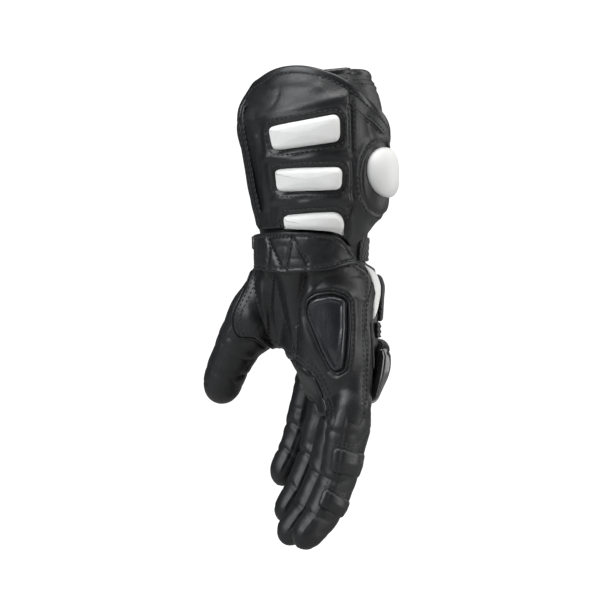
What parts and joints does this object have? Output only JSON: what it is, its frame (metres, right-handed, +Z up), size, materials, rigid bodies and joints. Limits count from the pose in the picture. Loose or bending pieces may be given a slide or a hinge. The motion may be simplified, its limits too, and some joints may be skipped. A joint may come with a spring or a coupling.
{
  "type": "motorcycle gauntlet glove",
  "caption": "Right-hand leather gauntlet glove with a bound cuff flap carrying white padded bars, a wrist strap, a palm slider, a knuckle guard and jointed fingers.",
  "frame": {"origin": "the forearm's centre line in the plane of the cuff's opening", "axes": "+Z up the forearm away from the fingers, -Y the palm side, +Y the back of the hand, +X the little-finger side, -X the thumb side"},
  "size_m": [0.1382, 0.0946, 0.2877],
  "materials": {
    "black_leather": "semi-matt grained leather",
    "side_leather": "semi-matt grained leather, double stitched",
    "white_leather": "smooth off-white leather over foam",
    "perforated_leather": "perforated leather over foam",
    "lining": "knitted polyester",
    "stretch_fabric": "ribbed stretch fabric",
    "hook_and_loop": "hook and loop tape",
    "foam": "closed-cell foam",
    "slider_shell": "satin moulded plastic",
    "knuckle_shell": "gloss moulded plastic",
    "rubber_tab": "moulded rubber"
  },
  "bodies": {
    "cuff": {"cuff_shell": "black_leather", "cuff_lining": "lining", "cuff_binding": "black_leather", "cuff_guard_panel": "black_leather", "guard_binding": "black_leather", "ulna_guard": "white_leather", "cuff_loop_patch": "hook_and_loop", "strap_loop_patch": "hook_and_loop", "wrist_elastic": "stretch_fabric"},
    "flap": {"flap_panel": "black_leather", "flap_binding": "black_leather", "flap_bar_upper": "white_leather", "flap_bar_middle": "white_leather", "flap_bar_lower": "white_leather", "flap_hook_patch": "hook_and_loop"},
    "strap": {"wrist_strap": "black_leather", "strap_hook_patch": "hook_and_loop", "strap_pull_tab": "rubber_tab"},
    "hand": {"palm_panel": "black_leather", "side_panel": "side_leather", "back_panel": "black_leather", "hand_lining": "lining", "thumb_base": "black_leather", "palm_slider": "slider_shell", "slider_foam": "foam", "knuckle_guard": "knuckle_shell", "knuckle_foam": "foam", "back_pad": "perforated_leather", "accordion_panel": "black_leather", "stripe_outer": "white_leather", "stripe_inner": "white_leather", "wrist_gusset": "stretch_fabric"},
    "thumb_proximal": {"thumb_proximal": "black_leather", "thumb_pad": "black_leather"},
    "thumb_distal": {"thumb_distal": "black_leather"},
    "index_proximal": {"index_proximal": "black_leather", "index_knuckle_pad": "black_leather"},
    "index_middle": {"index_middle": "black_leather", "index_joint_pad": "black_leather"},
    "index_distal": {"index_distal": "black_leather"},
    "middle_proximal": {"middle_proximal": "black_leather", "middle_knuckle_pad": "black_leather"},
    "middle_middle": {"middle_middle": "black_leather", "middle_joint_pad": "black_leather"},
    "middle_distal": {"middle_distal": "black_leather"},
    "ring_proximal": {"ring_proximal": "black_leather", "ring_knuckle_pad": "black_leather"},
    "ring_middle": {"ring_middle": "black_leather", "ring_joint_pad": "black_leather"},
    "ring_distal": {"ring_distal": "black_leather"},
    "little_proximal": {"little_proximal": "black_leather", "little_knuckle_pad": "black_leather"},
    "little_middle": {"little_middle": "black_leather", "little_joint_pad": "black_leather"},
    "little_distal": {"little_distal": "black_leather"}
  },
  "joints": [
    {"name": "wrist_flex", "type": "hinge", "parent": "cuff", "child": "hand", "pos_m": [0, 0.001, -0.118], "axis": [-1, 0, 0], "range_deg": [-20, 25], "stiffness_Nm_per_rad": 0.5, "deforming": ["wrist_gusset"]},
    {"name": "flap_open", "type": "hinge", "parent": "cuff", "child": "flap", "pos_m": [0.059, -0.0079, -0.022], "axis": [0.1203, -0.0693, 0.9903], "range_deg": [0, 70], "stiffness_Nm_per_rad": 0.02, "springref_deg": -17.19},
    {"name": "strap_open", "type": "hinge", "parent": "cuff", "child": "strap", "pos_m": [0.042, 0.0066, -0.109], "axis": [0, 0, 1], "range_deg": [0, 100], "stiffness_Nm_per_rad": 0.01, "springref_deg": -17.19},
    {"name": "thumb_root_flex", "type": "hinge", "parent": "hand", "child": "thumb_proximal", "pos_m": [-0.04412, -0.02487, -0.16356], "axis": [-0.2514, -0.9009, 0.3537], "range_deg": [-8, 8], "stiffness_Nm_per_rad": 0.3},
    {"name": "thumb_tip_flex", "type": "hinge", "parent": "thumb_proximal", "child": "thumb_distal", "pos_m": [-0.05523, -0.0287, -0.18123], "axis": [-0.3203, -0.9155, 0.2434], "range_deg": [-6, 18], "stiffness_Nm_per_rad": 0.15},
    {"name": "index_root_flex", "type": "hinge", "parent": "hand", "child": "index_proximal", "pos_m": [-0.03391, 0.01415, -0.18865], "axis": [-0.9976, 0, 0.0698], "range_deg": [-10, 60], "stiffness_Nm_per_rad": 0.3},
    {"name": "index_middle_joint_flex", "type": "hinge", "parent": "index_proximal", "child": "index_middle", "pos_m": [-0.03582, 0.00788, -0.21604], "axis": [-0.9976, 0, 0.0698], "range_deg": [-8, 38], "stiffness_Nm_per_rad": 0.2},
    {"name": "index_end_joint_flex", "type": "hinge", "parent": "index_middle", "child": "index_distal", "pos_m": [-0.03694, 0.00178, -0.23205], "axis": [-0.9976, 0, 0.0698], "range_deg": [-8, 34], "stiffness_Nm_per_rad": 0.1},
    {"name": "middle_root_flex", "type": "hinge", "parent": "hand", "child": "middle_proximal", "pos_m": [-0.0114, 0.01218, -0.20055], "axis": [-0.9976, 0, 0.0698], "range_deg": [-10, 60], "stiffness_Nm_per_rad": 0.3},
    {"name": "middle_middle_joint_flex", "type": "hinge", "parent": "middle_proximal", "child": "middle_middle", "pos_m": [-0.01356, 0.00458, -0.23141], "axis": [-0.9976, 0, 0.0698], "range_deg": [-8, 56], "stiffness_Nm_per_rad": 0.2},
    {"name": "middle_end_joint_flex", "type": "hinge", "parent": "middle_middle", "child": "middle_distal", "pos_m": [-0.01494, -0.00456, -0.25122], "axis": [-0.9976, 0, 0.0698], "range_deg": [-8, 48], "stiffness_Nm_per_rad": 0.1},
    {"name": "ring_root_flex", "type": "hinge", "parent": "hand", "child": "ring_proximal", "pos_m": [0.01111, 0.00723, -0.20935], "axis": [-0.9976, 0, 0.0698], "range_deg": [-10, 60], "stiffness_Nm_per_rad": 0.3},
    {"name": "ring_middle_joint_flex", "type": "hinge", "parent": "ring_proximal", "child": "ring_middle", "pos_m": [0.00898, -0.00139, -0.23983], "axis": [-0.9976, 0, 0.0698], "range_deg": [-8, 56], "stiffness_Nm_per_rad": 0.2},
    {"name": "ring_end_joint_flex", "type": "hinge", "parent": "ring_middle", "child": "ring_distal", "pos_m": [0.00753, -0.01229, -0.26066], "axis": [-0.9976, 0, 0.0698], "range_deg": [-8, 48], "stiffness_Nm_per_rad": 0.1},
    {"name": "little_root_flex", "type": "hinge", "parent": "hand", "child": "little_proximal", "pos_m": [0.03449, 0.00033, -0.21276], "axis": [-0.9976, 0, 0.0698], "range_deg": [-10, 60], "stiffness_Nm_per_rad": 0.3},
    {"name": "little_middle_joint_flex", "type": "hinge", "parent": "little_proximal", "child": "little_middle", "pos_m": [0.03248, -0.00554, -0.24144], "axis": [-0.9976, 0, 0.0698], "range_deg": [-8, 56], "stiffness_Nm_per_rad": 0.2},
    {"name": "little_end_joint_flex", "type": "hinge", "parent": "little_middle", "child": "little_distal", "pos_m": [0.03104, -0.0163, -0.26211], "axis": [-0.9976, 0, 0.0698], "range_deg": [-8, 48], "stiffness_Nm_per_rad": 0.1}
  ]
}
